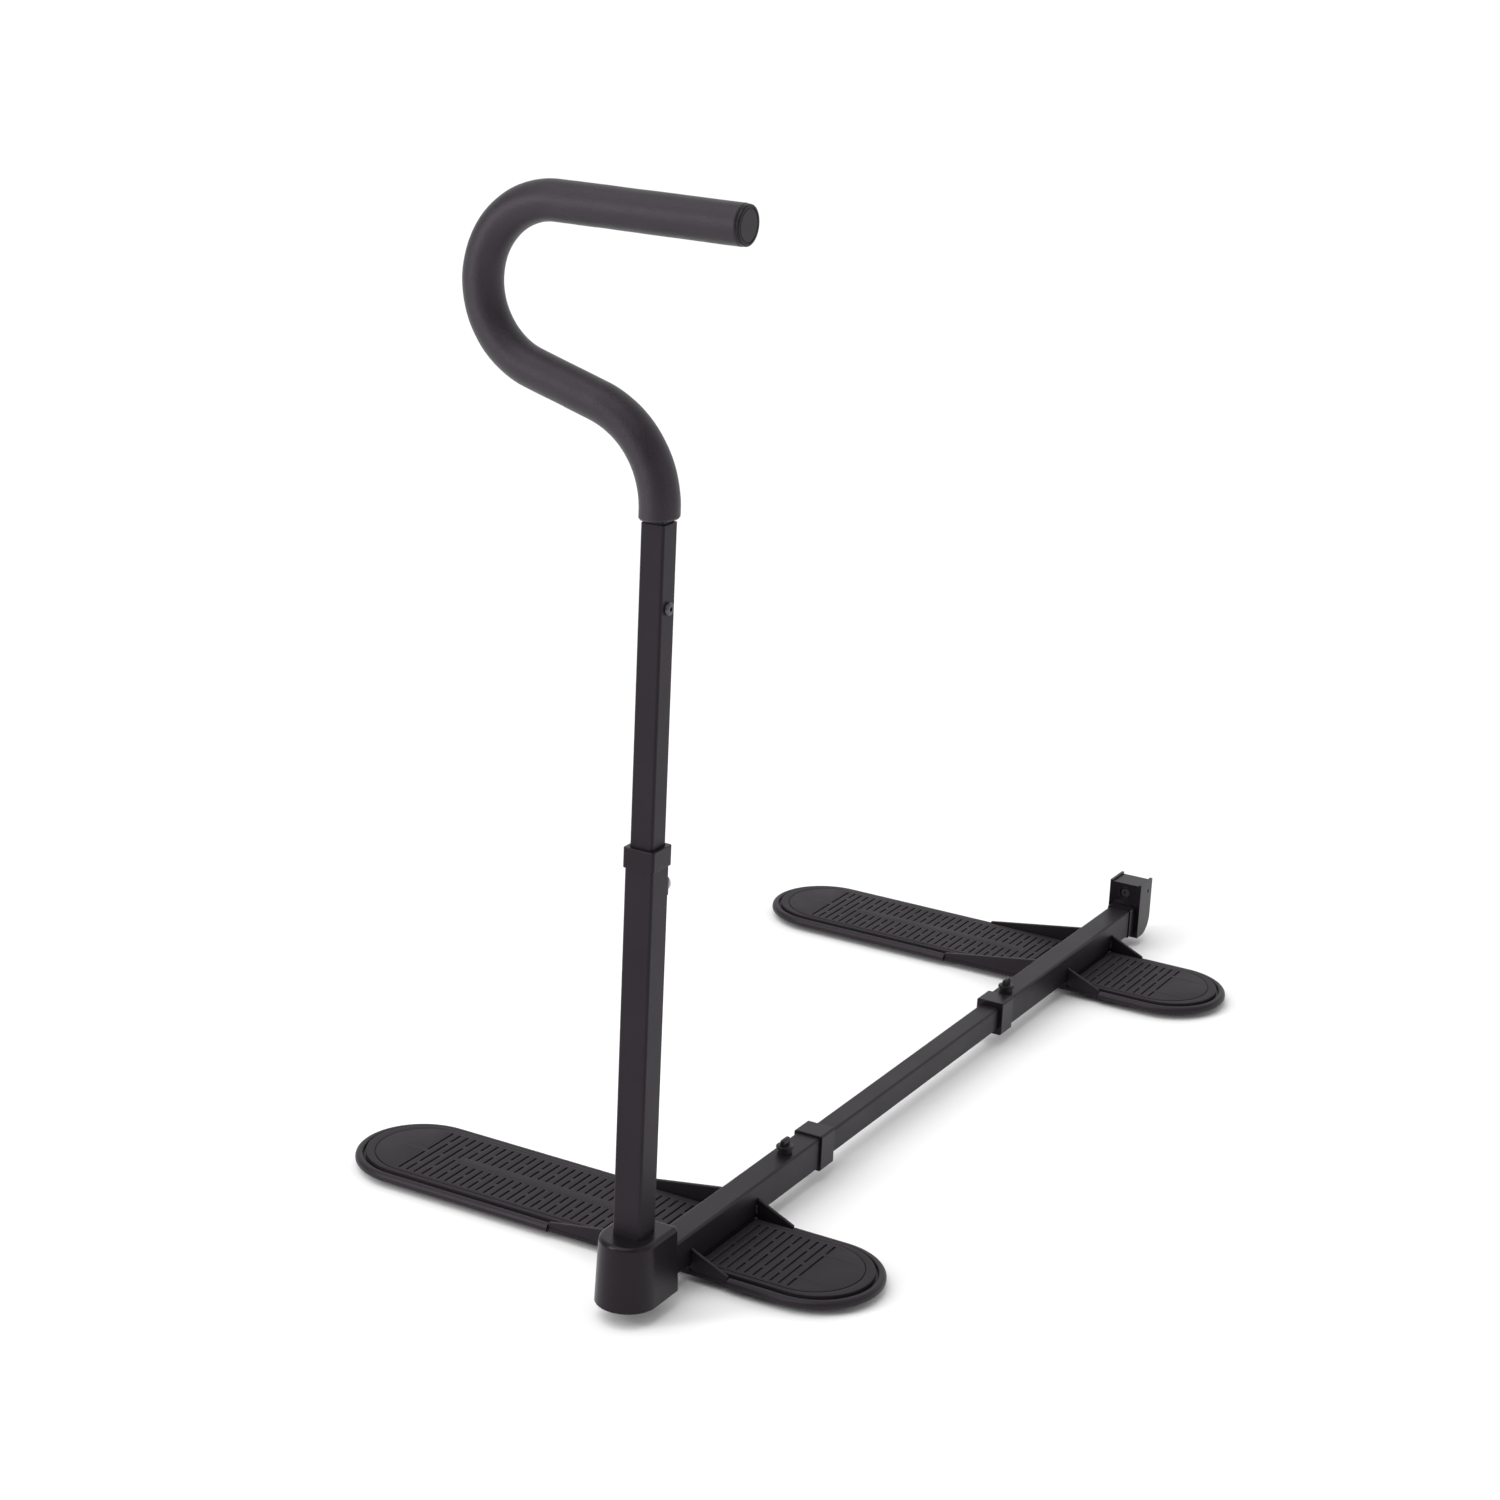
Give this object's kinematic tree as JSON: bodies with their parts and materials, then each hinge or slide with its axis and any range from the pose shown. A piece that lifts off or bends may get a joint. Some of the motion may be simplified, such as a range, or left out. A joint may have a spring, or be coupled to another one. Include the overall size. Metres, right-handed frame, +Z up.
{
  "type": "bed assist rail",
  "caption": "Free-standing crook handle on a telescopic square post, joined by a telescopic floor rail to wide foot plates that slide under furniture legs.",
  "frame": {"origin": "on the floor under the rail's axis, at the middle of the front foot plate's width, on the underside of its rubber foot", "axes": "+X towards the short side of the foot plates, +Y along the rail to the rear stop, +Z up the post"},
  "size_m": [0.474, 0.9769, 0.8316],
  "materials": {
    "steel": "satin black powder coat",
    "moulded": "fine-grained black",
    "rubber": "matte black",
    "foam": "soft closed-cell foam skin",
    "bright": "zinc plated"
  },
  "bodies": {
    "front_base": {"front_foot_plate": "steel", "front_edge_trim": "moulded", "front_tread_left": "rubber", "front_tread_right": "rubber", "front_rubber_feet": "rubber", "front_spacer_bar": "steel", "front_long_gussets": "steel", "front_short_gussets": "steel", "front_rail_tube": "steel", "front_rail_collar": "moulded", "front_weld_nut": "steel", "post_boot": "moulded", "weld_plate": "steel", "post_foot_plug": "moulded", "lower_post_tube": "steel", "post_collar": "moulded", "latch_housing": "moulded"},
    "inner_rail": {"inner_rail_tube": "steel", "front_glide_plug": "moulded", "rear_glide_plug": "moulded"},
    "rear_base": {"rear_foot_plate": "steel", "rear_edge_trim": "moulded", "rear_tread_left": "rubber", "rear_tread_right": "rubber", "rear_rubber_feet": "rubber", "rear_spacer_bar": "steel", "rear_long_gussets": "steel", "rear_short_gussets": "steel", "rear_rail_tube": "steel", "rear_rail_collar": "moulded", "rear_weld_nut": "steel", "rear_stop_mount": "moulded", "rear_stop_bracket": "moulded", "rear_stop_screw": "bright"},
    "front_lock": {"front_thumb_screw": "moulded"},
    "rear_lock": {"rear_thumb_screw": "moulded"},
    "handle": {"upper_post_tube": "steel", "post_glide_plug": "moulded", "handle_spigot": "steel", "handle_tube": "steel", "foam_grip": "foam", "grip_end_cap": "moulded", "handle_screw": "bright"},
    "post_latch": {"latch_plunger": "bright"}
  },
  "joints": [
    {"name": "height_slide", "type": "slide", "parent": "front_base", "child": "handle", "axis": [0, 0, 1], "range_m": [-0.15, 0.05]},
    {"name": "front_rail_slide", "type": "slide", "parent": "front_base", "child": "inner_rail", "axis": [0, 1, 0], "range_m": [-0.1, 0.06]},
    {"name": "rear_rail_slide", "type": "slide", "parent": "inner_rail", "child": "rear_base", "axis": [0, 1, 0], "range_m": [-0.09, 0.06]},
    {"name": "front_thumb_turn", "type": "hinge", "parent": "front_base", "child": "front_lock", "pos_m": [0, 0.113, 0.045], "axis": [0, 0, 1], "range_deg": [0, 180]},
    {"name": "rear_thumb_turn", "type": "hinge", "parent": "rear_base", "child": "rear_lock", "pos_m": [0, 0.5275, 0.045], "axis": [0, 0, 1], "range_deg": [0, 180]},
    {"name": "post_latch_pull", "type": "slide", "parent": "front_base", "child": "post_latch", "axis": [0, 1, 0], "range_m": [0, 0.005], "stiffness_N_per_m": 600, "springref_m": -0.003}
  ]
}
